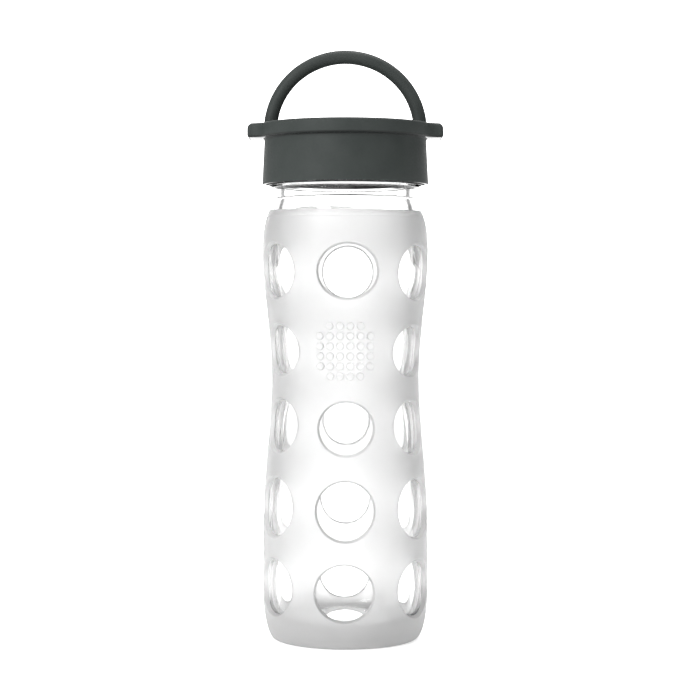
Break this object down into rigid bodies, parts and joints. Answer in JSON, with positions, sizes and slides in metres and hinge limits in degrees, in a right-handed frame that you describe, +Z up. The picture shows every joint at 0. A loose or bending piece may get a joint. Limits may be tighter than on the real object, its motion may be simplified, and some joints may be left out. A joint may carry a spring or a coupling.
{
  "type": "glass water bottle",
  "caption": "Waisted glass bottle in a frosted silicone sleeve with round windows, closed by a screw cap with a folding carry loop.",
  "frame": {"origin": "on the bottle's axis, on the plane it stands on", "axes": "+Z up along the bottle's axis; the bottle's front faces -Y; the carry loop pivots about X"},
  "size_m": [0.088, 0.0786, 0.2664],
  "materials": {
    "clear_glass": "clear polished soda-lime glass",
    "frosted_silicone": "frosted translucent silicone, matt",
    "seal_silicone": "opaque white silicone, matt",
    "insert_plastic": "moulded polypropylene, satin",
    "cap_plastic": "moulded polypropylene, satin slate grey",
    "loop_plastic": "moulded polypropylene, satin slate grey"
  },
  "bodies": {
    "bottle": {"glass_bottle": "clear_glass", "silicone_sleeve": "frosted_silicone"},
    "seal": {"seal_ring": "seal_silicone"},
    "cap": {"cap_shell": "cap_plastic", "thread_insert": "insert_plastic"},
    "loop": {"carry_loop": "loop_plastic"}
  },
  "joints": [
    {"name": "cap_lift", "type": "slide", "parent": "bottle", "child": "seal", "axis": [0, 0, 1], "range_m": [0, 0.0175]},
    {"name": "cap_turn", "type": "hinge", "parent": "seal", "child": "cap", "pos_m": [0, 0, 0.2154], "axis": [0, 0, 1], "range_deg": [0, 1260]},
    {"name": "loop_pivot", "type": "hinge", "parent": "cap", "child": "loop", "pos_m": [0, 0, 0.2301], "axis": [1, 0, 0], "range_deg": [-90, 90]}
  ],
  "couplings": [
    {"joint": "cap_lift", "follows": "cap_turn", "m_per_rad": 0.00079577}
  ]
}
